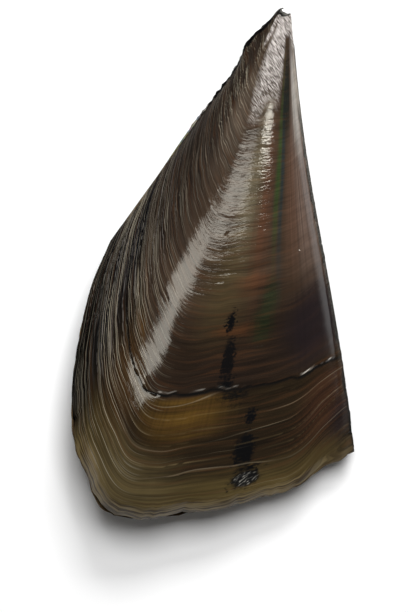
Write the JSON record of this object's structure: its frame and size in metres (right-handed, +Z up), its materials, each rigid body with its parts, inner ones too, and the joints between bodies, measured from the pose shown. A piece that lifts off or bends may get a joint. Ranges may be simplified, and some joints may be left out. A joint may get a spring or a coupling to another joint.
{
  "type": "pen shell",
  "caption": "Closed wedge-shaped sea shell with thin glossy valves joined along a long hinge, lying flat on its side.",
  "frame": {"origin": "on the surface the shell lies on, under the middle of its bounding box", "axes": "+Y along the hinge towards the pointed beak, -X towards the belly side where the valves open, +Z up from the surface the shell lies on"},
  "size_m": [0.1194, 0.2113, 0.0459],
  "materials": {
    "shell": "dark olive brown shell, wet-looking gloss, growth lines",
    "ligament": "black-brown dried horny ligament, satin"
  },
  "bodies": {
    "root": {"valve_upper": "shell", "valve_lower": "shell", "ligament": "ligament"}
  },
  "joints": []
}
